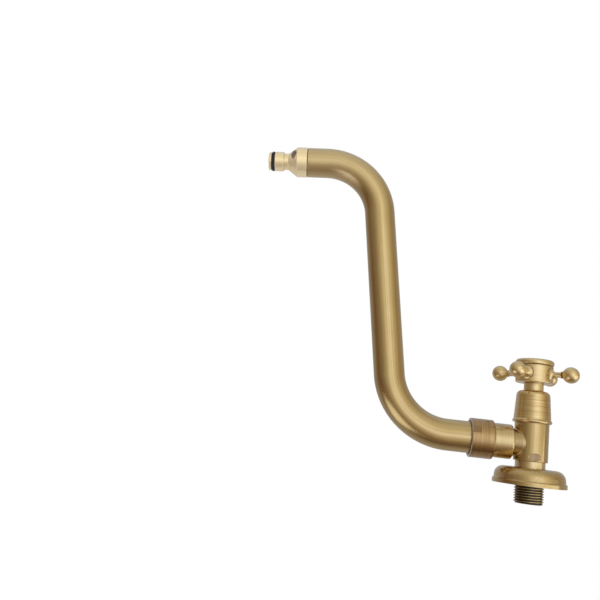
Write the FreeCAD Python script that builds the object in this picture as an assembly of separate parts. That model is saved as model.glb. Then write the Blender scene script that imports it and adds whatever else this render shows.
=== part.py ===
import FreeCAD, Part
import math
import os

from FreeCAD import Vector

os.makedirs("parts", exist_ok=True)

# Wall-mounted cold water tap with an S-shaped swivel spout and a hose nozzle.
# All sizes are in millimetres, +Z is up, and the wall is the plane y = 0.
# The origin is where the inlet axis meets the wall, and the tap stands out along -Y.
# "out" is a distance from the wall along the inlet axis.
# "down" is a distance below the inlet axis along the outlet axis.

# Clearances
running_gap = 0.05      # radial, between a turning shaft or spigot and its bore
face_gap = 0.15         # between flat faces that slide past each other
free_gap = 0.3          # between pieces on different bodies that don't guide each other
seat_gap = 0.05         # between a fixed piece and the seat it is pressed into
poke = 1.0              # how far a cutting tool runs past the face it opens
fine_edge = 0.2         # rounding of an inner piece's edge
small_edge = 0.4        # rounding or chamfer of a turned piece's edge
same_point = 1e-6       # points closer than this are one point

# Inlet: smooth nipple and G 1/2 pipe thread
thread_radius = 20.955 / 2
thread_pitch = 1.814
thread_flank_angle = 27.5
thread_depth_per_pitch = 0.6403
thread_flat_per_pitch = 1 / 6
thread_mouth_per_pitch = 0.1    # how far the cutter stands out beyond the crest
thread_runout_per_pitch = 0.25  # how far the groove stops short of the nipple
thread_length = 18.4
thread_in_wall = 13.0
thread_chamfer = 1.1
nipple_beyond_thread = 0.17
nipple_length = 11.4
inlet_bore_radius = 7.0

# Barrel of the tap body
barrel_step = 1.5       # the barrel's radius less the nipple's
barrel_length = 28.6
barrel_edge = 0.5
seat_web_height = 3.0   # from the barrel's wall end to the underside of the seat web
seat_web_thick = 2.8
barrel_wall = 1.85      # round the cartridge's thread
chamber_step = 0.3      # the chamber is this much smaller than the thread
barrel_flat_width = 8.9
barrel_flat_length = 5.4
barrel_flat_land = 0.45

# Outlet branch of the tap body
outlet_from_barrel_end = 12.4
branch_neck_radius = 9.5
branch_root_radius = 10.4
branch_root_depth = 3.65    # inside the barrel's surface
branch_neck_length = 2.35   # from the barrel's surface to the collar
branch_collar_length = 13.5
branch_collar_edge = 1.0
branch_thread_relief = 0.5  # the collar is this much smaller than the thread
branch_fillet = 1.0         # where the branch grows out of the barrel
branch_spigot_length = 8.0
outlet_bore_radius = 6.5
outlet_socket_radius = 8.65
outlet_socket_depth = 16.5

# Headwork: the quarter-turn ceramic cartridge
cartridge_skirt_gap = 0.8
cartridge_skirt_wall = 1.45
cartridge_thread_length = 7.5
cartridge_hex_height = 5.0
cartridge_neck_radius = 8.5
cartridge_neck_room = 2.5   # between its top and the bonnet's inside
window_length = 4.6
window_width = 7.0
window_count = 2
seat_seal_height = 2.2
seat_seal_proud = 0.25
seat_seal_wall = 2.2
ceramic_disc_thick = 3.0
ceramic_disc_play = 0.25
ceramic_port_inner_radius = 1.4
ceramic_port_spread = 80.0
disc_key_width = 2.0
disc_key_depth = 0.9
driver_tongue_width = 2.4
driver_tongue_depth = 1.0
body_seal_section = 1.6
spindle_shoulder = 3.15
spindle_driver_thick = 2.2
spindle_washer_thick = 0.7
spindle_spline_step = 0.7
spindle_spline_depth = 0.35
spindle_spline_teeth = 20
spindle_o_ring_section = 1.04
spindle_o_ring_spacing = 4.2
spindle_clip_thick = 1.0
spindle_clip_beyond_spindle = 1.7
spindle_clip_groove = 0.6
spindle_clip_opening = 50.0

# Bell-shaped bonnet cover
bonnet_overlap = 1.2    # how far the lip reaches down over the barrel
bonnet_lip_beyond_barrel = 1.85
bonnet_foot_beyond_barrel = 1.05
bonnet_taper = 1.5      # the cone's loss of radius from foot to shoulder
bonnet_lip_height = 2.8
bonnet_lip_rounding = 1.2
bonnet_shoulder_rounding = 3.6
bonnet_height = 23.45
bonnet_wall = 1.35
bonnet_top_thick = 1.9
bonnet_thread_length = 5.0

# Cross handle
hub_neck_radius = 7.0
hub_neck_in_bonnet = 1.4
hub_neck_length = 5.85  # the visible stretch between bonnet and hub
hub_radius = 13.3
hub_height = 17.3
hub_rim_overhang = 0.4
hub_rim_width = 3.5
hub_rim_height = 4.15
hub_rim_groove = 0.45
hub_rim_top_rounding = 2.2
hub_rim_foot_rounding = 0.8
hub_foot_edge = 0.8
hub_web_thick = 2.0
hub_web_below_top = 8.0
hub_well_gap = 1.0
cap_recess_depth = 3.6
cap_skirt_wall = 1.2
cap_plate_above_floor = 1.4
cap_dome = 0.5
cap_crown_radius = 6.3
cap_crown_rounding = 6.0
cap_below_rim = 0.6
arm_count = 4
arm_height = 6.7        # arm axis above the hub's underside
arm_angle = -39.6       # first arm from +X towards +Z, tap closed
arm_ball_radius = 5.85
arm_ball_gap = 0.5      # from the ring to the ball's nearest point
arm_seat_radius = 5.2
arm_seat_gap = 0.25
arm_foot_height = 0.8
arm_flare_height = 4.4
arm_flare_hollow = 0.3  # share of the flare's width that is left a third of the way up
arm_neck_radius = 1.95
arm_neck_length = 2.8
arm_ring_proud = 0.55
arm_ring_height = 0.7
arm_stud_radius = 2.5
arm_stud_length = 3.2
screw_radius = 2.0
screw_length = 10.0
screw_head_radius = 4.2
screw_head_height = 2.8
screw_head_rounding = 0.8
screw_slot_width = 1.1
screw_slot_depth = 1.3

# Union nut
nut_wall = 1.2
nut_edge = 0.7
nut_end_wall = 2.8
nut_end_chamfer = 0.8
nut_flat_height = 5.7
nut_flat_length = 6.3
nut_flat_angle = 27.0   # middle of the milled flat, from +X towards -Y

# Spout: end sleeve, S-shaped tube and nozzle bush
tube_radius = 11.575
tube_wall = 1.2
first_leg_end = 60.75   # down, where the first bend starts
first_bend_radius = 46.35
first_bend_angle = 81.7
middle_leg_length = 126.7
second_bend_radius = 43.6
second_bend_angle = 84.5
last_leg_length = 15.4
sleeve_flange_overlap = 0.725  # radial, on the nut's shoulder
sleeve_flange_gap = 0.4
sleeve_flange_thick = 2.5
sleeve_bore_radius = 6.0
sleeve_end_clear = 1.0
sleeve_in_tube = 8.0
sleeve_edge = 0.5
spout_o_ring_section = 1.44
spout_o_ring_spacing = 6.0
outlet_washer_thick = 0.85
slip_ring_thick = 2.15
bush_length = 10.0
bush_wall = 2.175

# Hose nozzle of the quick-connect kind
nozzle_washer_thick = 0.5
nozzle_washer_inset = 0.475
nozzle_collar_beyond_tube = 0.175
nozzle_collar_length = 7.9
nozzle_cone_length = 7.2
nozzle_groove_radius = 6.45
nozzle_groove_rounding = 0.8
nozzle_groove_length = 3.5
nozzle_flange_radius = 7.65
nozzle_flange_length = 7.3
nozzle_flange_edge = 0.6
nozzle_seal_groove_length = 2.8
nozzle_tip_below_flange = 0.55
nozzle_tip_length = 2.1
nozzle_tip_edge = 0.8
nozzle_bore_radius = 4.6
nozzle_o_ring_section = 2.5
nozzle_o_ring_proud = 0.15
nozzle_stub_length = 7.5
nozzle_pocket_radius = 5.5
nozzle_pocket_floor = 8.2
nozzle_pocket_from_collar = 0.6
nozzle_pocket_angle = 22.0  # from +X towards -Y

# Wall rosette
rosette_radius = 26.0
rosette_height = 12.0
rosette_rim_height = 3.0
rosette_step = 0.9
rosette_step_height = 0.3
rosette_rim_rounding = 0.5
rosette_step_rounding = 0.25
rosette_shoulder = 6.5
rosette_draft = 0.9     # the dome's loss of radius from the step to the top
rosette_wall = 1.1
rosette_nib_depth = 0.45
rosette_nib_count = 4
rosette_nib_angle = 49.0

OUT = Vector(0, -1, 0)
DOWN = Vector(0, 0, -1)
RIGHT = Vector(1, 0, 0)

# Radii of the pieces round the inlet axis that fit into each other
nipple_radius = thread_radius + nipple_beyond_thread
barrel_radius = nipple_radius + barrel_step
cartridge_thread_radius = barrel_radius - barrel_wall
chamber_radius = cartridge_thread_radius - chamber_step
cartridge_skirt_radius = chamber_radius - cartridge_skirt_gap
skirt_bore_radius = cartridge_skirt_radius - cartridge_skirt_wall
ceramic_disc_radius = skirt_bore_radius - ceramic_disc_play
seat_hole_radius = skirt_bore_radius - seat_gap - seat_seal_wall
spindle_radius = skirt_bore_radius - spindle_shoulder
spindle_bore_radius = spindle_radius + running_gap
spindle_spline_radius = spindle_radius - spindle_spline_step
spindle_clip_radius = spindle_radius + spindle_clip_beyond_spindle
bonnet_lip_radius = barrel_radius + bonnet_lip_beyond_barrel
bonnet_foot_radius = barrel_radius + bonnet_foot_beyond_barrel
bonnet_head_radius = bonnet_foot_radius - bonnet_taper
hub_rim_radius = hub_radius + hub_rim_overhang
cap_radius = hub_rim_radius - hub_rim_width
hub_well_radius = screw_head_radius + hub_well_gap
arm_foot_radius = arm_seat_radius - arm_seat_gap
arm_ring_radius = arm_neck_radius + arm_ring_proud
rosette_nib_chord = nipple_radius + free_gap
rosette_hole_radius = rosette_nib_chord + rosette_nib_depth

# Radii of the pieces round the outlet axis and the nozzle's axis that fit into each other
tube_bore_radius = tube_radius - tube_wall
nut_hole_radius = tube_radius + free_gap
sleeve_flange_radius = nut_hole_radius + sleeve_flange_overlap
nut_thread_radius = sleeve_flange_radius + sleeve_flange_gap
nut_radius = nut_thread_radius + nut_wall
branch_spigot_radius = nut_thread_radius - seat_gap
branch_collar_radius = branch_spigot_radius - branch_thread_relief
bush_thread_radius = tube_bore_radius - bush_wall
nozzle_washer_radius = tube_radius - nozzle_washer_inset
nozzle_collar_radius = tube_radius + nozzle_collar_beyond_tube
nozzle_o_ring_radius = nozzle_flange_radius + nozzle_o_ring_proud
nozzle_tip_radius = nozzle_flange_radius - nozzle_tip_below_flange

# Stations along the inlet axis
thread_end_out = -thread_in_wall
nipple_start_out = thread_end_out + thread_length
barrel_start_out = nipple_start_out + nipple_length
barrel_top_out = barrel_start_out + barrel_length
outlet_out = barrel_start_out + outlet_from_barrel_end
web_start_out = barrel_start_out + seat_web_height
web_top_out = web_start_out + seat_web_thick
chamber_top_out = barrel_top_out - cartridge_thread_length
bonnet_foot_out = barrel_top_out - bonnet_overlap
bonnet_top_out = bonnet_foot_out + bonnet_height
hub_foot_out = bonnet_top_out + hub_neck_length
hub_top_out = hub_foot_out + hub_height
arm_out = hub_foot_out + arm_height
neck_end_out = bonnet_top_out - hub_neck_in_bonnet
hub_web_top_out = hub_top_out - hub_web_below_top
hub_web_foot_out = hub_web_top_out - hub_web_thick
spindle_top_out = hub_web_foot_out - face_gap
screw_tip_out = hub_web_top_out - screw_length

# The cartridge stands on the seat web and shoulders on the barrel's top
skirt_foot_out = web_top_out + free_gap
seal_foot_out = skirt_foot_out - seat_seal_proud
seal_top_out = seal_foot_out + seat_seal_height
fixed_disc_out = seal_top_out + seat_gap
moving_disc_out = fixed_disc_out + ceramic_disc_thick + seat_gap
driver_out = moving_disc_out + ceramic_disc_thick + seat_gap
driver_top_out = driver_out + spindle_driver_thick
spindle_washer_out = driver_top_out + face_gap
skirt_shoulder_out = spindle_washer_out + spindle_washer_thick + face_gap
cartridge_hex_out = barrel_top_out
cartridge_neck_out = cartridge_hex_out + cartridge_hex_height
cartridge_top_out = bonnet_top_out - bonnet_top_thick - cartridge_neck_room
clip_out = cartridge_top_out + free_gap
port_web_angle = ceramic_port_spread + (180 - ceramic_port_spread) / 2

# Stations down the outlet axis
branch_root_down = barrel_radius - branch_root_depth
branch_collar_down = barrel_radius + branch_neck_length
collar_end_down = branch_collar_down + branch_collar_length
spigot_end_down = collar_end_down + branch_spigot_length
socket_start_down = spigot_end_down - outlet_socket_depth
washer_start_down = spigot_end_down + face_gap
flange_start_down = washer_start_down + outlet_washer_thick + face_gap
flange_end_down = flange_start_down + sleeve_flange_thick
slip_ring_start_down = flange_end_down + face_gap
slip_ring_end_down = slip_ring_start_down + slip_ring_thick
nut_start_down = collar_end_down + free_gap
nut_shoulder_down = slip_ring_end_down + face_gap
nut_end_down = nut_shoulder_down + nut_end_wall

WALL_ORIGIN = Vector(0, 0, 0)
OUTLET_ORIGIN = OUT * outlet_out


def along(origin, direction, station, side=RIGHT, radius=0.0):
    """A point at a station on an axis, moved sideways by a radius."""
    return origin + direction * station + side * radius


def rounded_face(corners, origin, direction, side):
    """A flat face whose outline has straight sides and tangent arcs.

    Each corner is (radius from the axis, station) or has a third number, its rounding.
    """
    count = len(corners)
    flat = [Vector(c[0], c[1], 0) for c in corners]
    cuts = []
    for i, corner in enumerate(corners):
        here = flat[i]
        rounding = corner[2] if len(corner) > 2 else 0.0
        if rounding <= 0:
            cuts.append((here, here, here))
            continue
        back = (flat[i - 1] - here).normalize()
        ahead = (flat[(i + 1) % count] - here).normalize()
        half = back.getAngle(ahead) / 2
        reach = rounding / math.tan(half)
        middle = (back + ahead).normalize()
        centre = here + middle * (rounding / math.sin(half))
        cuts.append((here + back * reach, centre - middle * rounding, here + ahead * reach))
    placed = [[along(origin, direction, p.y, side, p.x) for p in cut] for cut in cuts]
    edges = []
    for i, (start, middle, end) in enumerate(placed):
        if start.distanceToPoint(end) > same_point:
            edges.append(Part.Arc(start, middle, end).toShape())
        following = placed[(i + 1) % count][0]
        if end.distanceToPoint(following) > same_point:
            edges.append(Part.LineSegment(end, following).toShape())
    return Part.Face(Part.Wire(edges))


def turned(corners, origin, direction):
    """A turned piece: its half section spun once round an axis that is square to +X."""
    face = rounded_face(corners, origin, direction, RIGHT)
    return outward(face.revolve(origin, direction, 360))


def outward(shape):
    """The same solid with its faces pointing outwards."""
    solid = shape.Solids[0]
    if solid.Volume < 0:
        solid.reverse()
    return solid


def rod(origin, direction, radius, start, end):
    """A plain cylinder between two stations on an axis."""
    return Part.makeCylinder(radius, end - start, along(origin, direction, start), direction)


def ring(origin, direction, inner, outer, start, end):
    """A flat washer or sleeve between two stations on an axis."""
    return rod(origin, direction, outer, start, end).cut(
        rod(origin, direction, inner, start - poke, end + poke))


def o_ring(origin, direction, station, inner_radius, section):
    """An O-ring whose inside has a given radius."""
    middle = inner_radius + section / 2
    return Part.makeTorus(middle, section / 2, along(origin, direction, station), direction)


def sector(origin, direction, inner, outer, start, end, first_angle, spread):
    """A slice of a ring, from one angle round the axis to another."""
    slice_solid = Part.makeCylinder(outer, end - start, along(origin, direction, start), direction, spread)
    slice_solid = slice_solid.cut(rod(origin, direction, inner, start - poke, end + poke))
    slice_solid.rotate(origin, direction, first_angle)
    return slice_solid


def write(shape, node):
    """One STEP file for each node."""
    shape.exportStep("parts/" + node + ".step")
    boxed = shape.BoundBox
    print(node, len(shape.Solids), "solid,", round(shape.Volume), "mm3, valid", shape.isValid(),
          "x", round(boxed.XMin, 2), round(boxed.XMax, 2),
          "y", round(boxed.YMin, 2), round(boxed.YMax, 2),
          "z", round(boxed.ZMin, 2), round(boxed.ZMax, 2))


def thread_groove():
    """The helical groove of the pipe thread, as one solid that runs out of the nipple's end."""
    half_root = thread_flat_per_pitch * thread_pitch / 2
    bottom = thread_radius - thread_depth_per_pitch * thread_pitch
    mouth = thread_radius + thread_mouth_per_pitch * thread_pitch
    half_mouth = half_root + (mouth - bottom) * math.tan(math.radians(thread_flank_angle))
    below_end = thread_pitch / 2
    height = below_end + thread_length - thread_runout_per_pitch * thread_pitch
    helix = Part.makeHelix(thread_pitch, height, thread_radius)
    outline = Part.makePolygon([
        Vector(bottom, 0, -half_root),
        Vector(mouth, 0, -half_mouth),
        Vector(mouth, 0, half_mouth),
        Vector(bottom, 0, half_root),
        Vector(bottom, 0, -half_root)])
    groove = outward(Part.Wire(helix).makePipeShell([outline], True, True))
    # the helix climbs along +Z, which is laid along the outward axis
    groove.rotate(WALL_ORIGIN, RIGHT, 90)
    groove.translate(OUT * (thread_end_out - below_end))
    return groove


def threaded_end():
    """The inlet's end up to the nipple, chamfered, with the pipe thread cut in it."""
    blank = turned([
        (0, thread_end_out),
        (thread_radius - thread_chamfer, thread_end_out),
        (thread_radius, thread_end_out + thread_chamfer),
        (thread_radius, nipple_start_out),
        (0, nipple_start_out)], WALL_ORIGIN, OUT)
    return blank.cut(thread_groove())


def branched(barrel, branch):
    """The barrel and the branch in one, with a fillet along the curved seam between them."""
    body = barrel.fuse(branch).removeSplitter()
    seam = [edge for edge in body.Edges if edge.Curve.TypeId == "Part::GeomBSplineCurve"]
    return body.makeFillet(branch_fillet, seam)


def tap_body():
    """Barrel, inlet nipple and outlet branch, turned and bored from one casting."""
    barrel = turned([
        (0, nipple_start_out),
        (thread_radius, nipple_start_out),
        (nipple_radius, nipple_start_out + (nipple_radius - thread_radius)),
        (nipple_radius, barrel_start_out),
        (barrel_radius, barrel_start_out, barrel_edge),
        (barrel_radius, barrel_top_out),
        (0, barrel_top_out)], WALL_ORIGIN, OUT)
    branch = turned([
        (0, 0),
        (branch_root_radius, 0),
        (branch_root_radius, branch_root_down),
        (branch_neck_radius, branch_collar_down),
        (branch_collar_radius, branch_collar_down, branch_collar_edge),
        (branch_collar_radius, collar_end_down),
        (branch_spigot_radius, collar_end_down + branch_thread_relief),
        (branch_spigot_radius, spigot_end_down),
        (0, spigot_end_down)], OUTLET_ORIGIN, DOWN)
    body = branched(barrel, branch).fuse(threaded_end())
    inlet_bore = rod(WALL_ORIGIN, OUT, inlet_bore_radius, thread_end_out - poke, web_start_out)
    seat_hole = rod(WALL_ORIGIN, OUT, seat_hole_radius, web_start_out - poke, web_top_out + poke)
    chamber = rod(WALL_ORIGIN, OUT, chamber_radius, web_top_out, chamber_top_out)
    thread_bore = rod(WALL_ORIGIN, OUT, cartridge_thread_radius, chamber_top_out, barrel_top_out + poke)
    outlet_bore = rod(OUTLET_ORIGIN, DOWN, outlet_bore_radius, 0, socket_start_down)
    socket = rod(OUTLET_ORIGIN, DOWN, outlet_socket_radius, socket_start_down, spigot_end_down + poke)
    for tool in (inlet_bore, seat_hole, chamber, thread_bore, outlet_bore, socket):
        body = body.cut(tool)
    for side in (1, -1):
        body = body.cut(barrel_flat(side))
    return outward(body)


def barrel_flat(side):
    """The oval spanner flat that an end mill leaves on one side of the barrel."""
    plane = math.sqrt(barrel_radius ** 2 - (barrel_flat_width / 2) ** 2)
    middle_out = barrel_start_out + barrel_flat_land + barrel_flat_length / 2
    oval = Part.Ellipse(WALL_ORIGIN, barrel_flat_width / 2, barrel_flat_length / 2).toShape()
    cutter = Part.Face(Part.Wire(oval)).extrude(Vector(0, 0, barrel_radius))
    # the oval's long axis lies along Z and it is sunk along X
    cutter.rotate(WALL_ORIGIN, Vector(0, 1, 0), 90 * side)
    cutter.translate(Vector(side * plane, -middle_out, 0))
    return cutter


def bonnet_inner_radius(station):
    """Radius of the bonnet's tapered inside at a station above its lip."""
    lip_top = bonnet_foot_out + bonnet_lip_height
    slope = bonnet_taper / (bonnet_top_out - lip_top)
    return bonnet_foot_radius - bonnet_wall - slope * (station - lip_top)


def disc_keys(width, inner_radius):
    """Two keys inside the headwork's skirt that stop the fixed disc from turning."""
    keys = []
    for i in range(2):
        key = Part.makeBox(cartridge_skirt_radius - seat_gap - inner_radius, ceramic_disc_thick, width)
        key.translate(Vector(inner_radius, -fixed_disc_out - ceramic_disc_thick, -width / 2))
        key.rotate(WALL_ORIGIN, OUT, port_web_angle + 180 * i)
        keys.append(key)
    return keys


def cartridge_body():
    """Brass headwork: ported skirt, thread, spanner hexagon and a neck that takes the bonnet."""
    hex_radius = bonnet_inner_radius(cartridge_neck_out) - free_gap
    angles = [math.radians(60 * i) for i in range(7)]
    corners = [Vector(math.cos(a), 0, math.sin(a)) * hex_radius for a in angles]
    hexagon = Part.Face(Part.makePolygon(corners)).extrude(OUT * cartridge_hex_height)
    hexagon.translate(OUT * cartridge_hex_out)
    male_radius = cartridge_thread_radius - seat_gap
    seal_floor = male_radius - body_seal_section - seat_gap
    seal_start = barrel_top_out - body_seal_section - seat_gap
    body = turned([
        (0, skirt_foot_out),
        (cartridge_skirt_radius, skirt_foot_out),
        (cartridge_skirt_radius, chamber_top_out),
        (male_radius, chamber_top_out + seat_gap),
        (male_radius, seal_start),
        (seal_floor, seal_start),
        (seal_floor, cartridge_hex_out + seat_gap),
        (cartridge_neck_radius, cartridge_neck_out - seat_gap),
        (cartridge_neck_radius, cartridge_top_out, small_edge),
        (0, cartridge_top_out)], WALL_ORIGIN, OUT)
    body = body.fuse(hexagon)
    body = body.cut(rod(WALL_ORIGIN, OUT, skirt_bore_radius, skirt_foot_out - poke, skirt_shoulder_out))
    body = body.cut(rod(WALL_ORIGIN, OUT, spindle_bore_radius, skirt_shoulder_out - poke,
                        cartridge_top_out + poke))
    for i in range(window_count):
        window = Part.makeBox(2 * cartridge_skirt_radius, window_length, window_width)
        window.translate(Vector(0, -(driver_out + window_length / 2), -window_width / 2))
        window.rotate(WALL_ORIGIN, OUT, 90 + i * 360 / window_count)
        body = body.cut(window)
    for key in disc_keys(disc_key_width, skirt_bore_radius - disc_key_depth):
        body = body.fuse(key)
    return outward(body)


def cartridge_body_seal():
    """O-ring between the headwork's hexagon and the mouth of the barrel."""
    male_radius = cartridge_thread_radius - seat_gap
    inner = male_radius - body_seal_section
    middle_out = barrel_top_out - body_seal_section / 2
    return o_ring(WALL_ORIGIN, OUT, middle_out, inner, body_seal_section - 2 * seat_gap)


def seat_seal():
    """Rubber sleeve between the seat web and the fixed disc."""
    outer = skirt_bore_radius - seat_gap
    return ring(WALL_ORIGIN, OUT, seat_hole_radius, outer, seal_foot_out, seal_top_out)


def ported_disc(start_out, ports_turned):
    """A ceramic disc with two sector ports."""
    end_out = start_out + ceramic_disc_thick
    disc = rod(WALL_ORIGIN, OUT, ceramic_disc_radius, start_out, end_out)
    for i in range(2):
        disc = disc.cut(sector(WALL_ORIGIN, OUT, ceramic_port_inner_radius, seat_hole_radius,
                               start_out - poke, end_out + poke,
                               ports_turned + 180 * i, ceramic_port_spread))
    return disc


def fixed_ceramic_disc():
    """Lower disc, with a notch for each of the headwork's keys."""
    disc = ported_disc(fixed_disc_out, 0)
    notch_floor = skirt_bore_radius - disc_key_depth - seat_gap
    for notch in disc_keys(disc_key_width + 2 * seat_gap, notch_floor):
        disc = disc.cut(notch)
    return outward(disc)


def moving_ceramic_disc():
    """Upper disc, a quarter turn away from the open position, with a slot for the driver."""
    disc = ported_disc(moving_disc_out, 90)
    return outward(disc.cut(driver_tongue(ceramic_disc_radius + poke, seat_gap)))


def driver_tongue(reach, extra):
    """Bar across the driver's underside that turns the upper disc, or the slot that takes it."""
    width = driver_tongue_width + 2 * extra
    height = driver_tongue_depth + extra
    tongue = Part.makeBox(2 * reach, height, width)
    tongue.translate(Vector(-reach, -driver_out, -width / 2))
    tongue.rotate(WALL_ORIGIN, OUT, 90 + port_web_angle)
    return tongue


def spline_bar(extra, start, end):
    """A splined bar between two stations, larger all round by a clearance."""
    points = []
    for i in range(2 * spindle_spline_teeth + 1):
        radius = spindle_spline_radius - spindle_spline_depth * (i % 2) + extra
        angle = math.pi * i / spindle_spline_teeth
        points.append(Vector(math.cos(angle), 0, math.sin(angle)) * radius + OUT * start)
    return Part.Face(Part.makePolygon(points)).extrude(OUT * (end - start))


def spindle():
    """Spindle with the driver plate, two seal grooves, a clip groove and a splined head."""
    groove_radius = spindle_radius - spindle_o_ring_section
    clip_radius = spindle_radius - spindle_clip_groove
    clip_end_out = clip_out + spindle_clip_thick
    first_seal, second_seal = spindle_seal_stations()
    half = spindle_o_ring_section / 2 + seat_gap
    body = turned([
        (0, driver_out),
        (ceramic_disc_radius, driver_out, fine_edge),
        (ceramic_disc_radius, driver_top_out, fine_edge),
        (spindle_radius, driver_top_out),
        (spindle_radius, first_seal - half),
        (groove_radius, first_seal - half),
        (groove_radius, first_seal + half),
        (spindle_radius, first_seal + half),
        (spindle_radius, second_seal - half),
        (groove_radius, second_seal - half),
        (groove_radius, second_seal + half),
        (spindle_radius, second_seal + half),
        (spindle_radius, clip_out - seat_gap),
        (clip_radius, clip_out - seat_gap),
        (clip_radius, clip_end_out + seat_gap),
        (spindle_radius, clip_end_out + seat_gap),
        (spindle_radius, neck_end_out - free_gap),
        (0, neck_end_out - free_gap)], WALL_ORIGIN, OUT)
    for i in range(2):
        body = body.cut(sector(WALL_ORIGIN, OUT, ceramic_port_inner_radius, skirt_bore_radius,
                               driver_out - poke, driver_top_out,
                               90 + 180 * i, ceramic_port_spread))
    body = body.fuse(driver_tongue(ceramic_disc_radius - fine_edge, 0))
    body = body.fuse(spline_bar(0, neck_end_out - 2 * free_gap, spindle_top_out))
    tapped = rod(WALL_ORIGIN, OUT, screw_radius + seat_gap,
                 screw_tip_out - poke, spindle_top_out + poke)
    return outward(body.cut(tapped))


def spindle_seal_stations():
    """Where the spindle's two O-rings sit, in the headwork's hexagon and neck."""
    first = cartridge_hex_out + spindle_o_ring_section
    return first, first + spindle_o_ring_spacing


def spindle_o_rings():
    """The spindle's two O-rings, in one node."""
    inner = spindle_radius - spindle_o_ring_section + seat_gap
    section = spindle_o_ring_section - 2 * seat_gap
    rings = [o_ring(WALL_ORIGIN, OUT, station, inner, section) for station in spindle_seal_stations()]
    return Part.makeCompound(rings)


def spindle_slip_washer():
    """Plastic washer between the driver plate and the headwork's shoulder."""
    return ring(WALL_ORIGIN, OUT, spindle_radius + face_gap, skirt_bore_radius - seat_gap,
                spindle_washer_out, spindle_washer_out + spindle_washer_thick)


def spindle_clip():
    """Open retaining clip in the spindle's groove, above the headwork."""
    inner = spindle_radius - spindle_clip_groove + seat_gap
    clip = ring(WALL_ORIGIN, OUT, inner, spindle_clip_radius, clip_out, clip_out + spindle_clip_thick)
    opening = Part.makeCylinder(spindle_clip_radius + poke, spindle_clip_thick + 2 * poke,
                                along(WALL_ORIGIN, OUT, clip_out - poke), OUT, spindle_clip_opening)
    return outward(clip.cut(opening))


def bonnet_cover():
    """Bell-shaped cover with a beaded lip, screwed on the headwork's neck."""
    lip_top = bonnet_foot_out + bonnet_lip_height
    lip_shoulder = lip_top - bonnet_lip_rounding
    skirt_inner = barrel_radius + free_gap
    inner_foot = bonnet_inner_radius(lip_top)
    head_inner_out = bonnet_top_out - bonnet_top_thick
    ring_foot = cartridge_top_out - bonnet_thread_length
    thread_inner = cartridge_neck_radius + seat_gap
    neck_hole = hub_neck_radius + free_gap
    return turned([
        (skirt_inner, bonnet_foot_out),
        (bonnet_lip_radius, bonnet_foot_out, bonnet_lip_rounding),
        (bonnet_lip_radius, lip_shoulder, fine_edge),
        (bonnet_foot_radius, lip_top, fine_edge),
        (bonnet_head_radius, bonnet_top_out, bonnet_shoulder_rounding),
        (neck_hole, bonnet_top_out),
        (neck_hole, head_inner_out),
        (thread_inner, head_inner_out),
        (thread_inner, ring_foot),
        (bonnet_inner_radius(ring_foot), ring_foot),
        (inner_foot, lip_top),
        (inner_foot, barrel_top_out + free_gap),
        (skirt_inner, barrel_top_out + free_gap)], WALL_ORIGIN, OUT)


def handle_hub():
    """Turned hub with a rounded rim, a neck, a splined bore and four round arm seats."""
    rim_foot = hub_top_out - hub_rim_height
    recess_floor = hub_top_out - cap_recess_depth
    hub = turned([
        (screw_radius + seat_gap, neck_end_out),
        (hub_neck_radius, neck_end_out, small_edge),
        (hub_neck_radius, hub_foot_out),
        (hub_radius, hub_foot_out, hub_foot_edge),
        (hub_radius, rim_foot - hub_rim_groove),
        (hub_radius - hub_rim_groove, rim_foot),
        (hub_rim_radius, rim_foot + hub_rim_groove, hub_rim_foot_rounding),
        (hub_rim_radius, hub_top_out, hub_rim_top_rounding),
        (cap_radius + seat_gap, hub_top_out),
        (cap_radius + seat_gap, recess_floor),
        (hub_well_radius, recess_floor),
        (hub_well_radius, hub_web_top_out),
        (screw_radius + seat_gap, hub_web_top_out)], WALL_ORIGIN, OUT)
    hub = hub.cut(spline_bar(seat_gap, neck_end_out - poke, hub_web_foot_out))
    seat_plane = arm_seat_plane()
    origin = along(WALL_ORIGIN, OUT, arm_out)
    for i in range(arm_count):
        direction = arm_direction(i)
        hub = hub.cut(rod(origin, direction, arm_seat_radius, seat_plane, hub_rim_radius + poke))
        hub = hub.cut(rod(origin, direction, arm_stud_radius + seat_gap,
                          seat_plane - arm_stud_length - free_gap, seat_plane + poke))
    return outward(hub)


def arm_direction(i):
    """Unit vector of one handle arm, square to the inlet axis."""
    angle = math.radians(arm_angle + i * 360 / arm_count)
    return Vector(math.cos(angle), 0, math.sin(angle))


def arm_seat_plane():
    """Distance from the hub's axis to the flat round seat that an arm stands on."""
    return math.sqrt(hub_radius ** 2 - arm_seat_radius ** 2)


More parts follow.
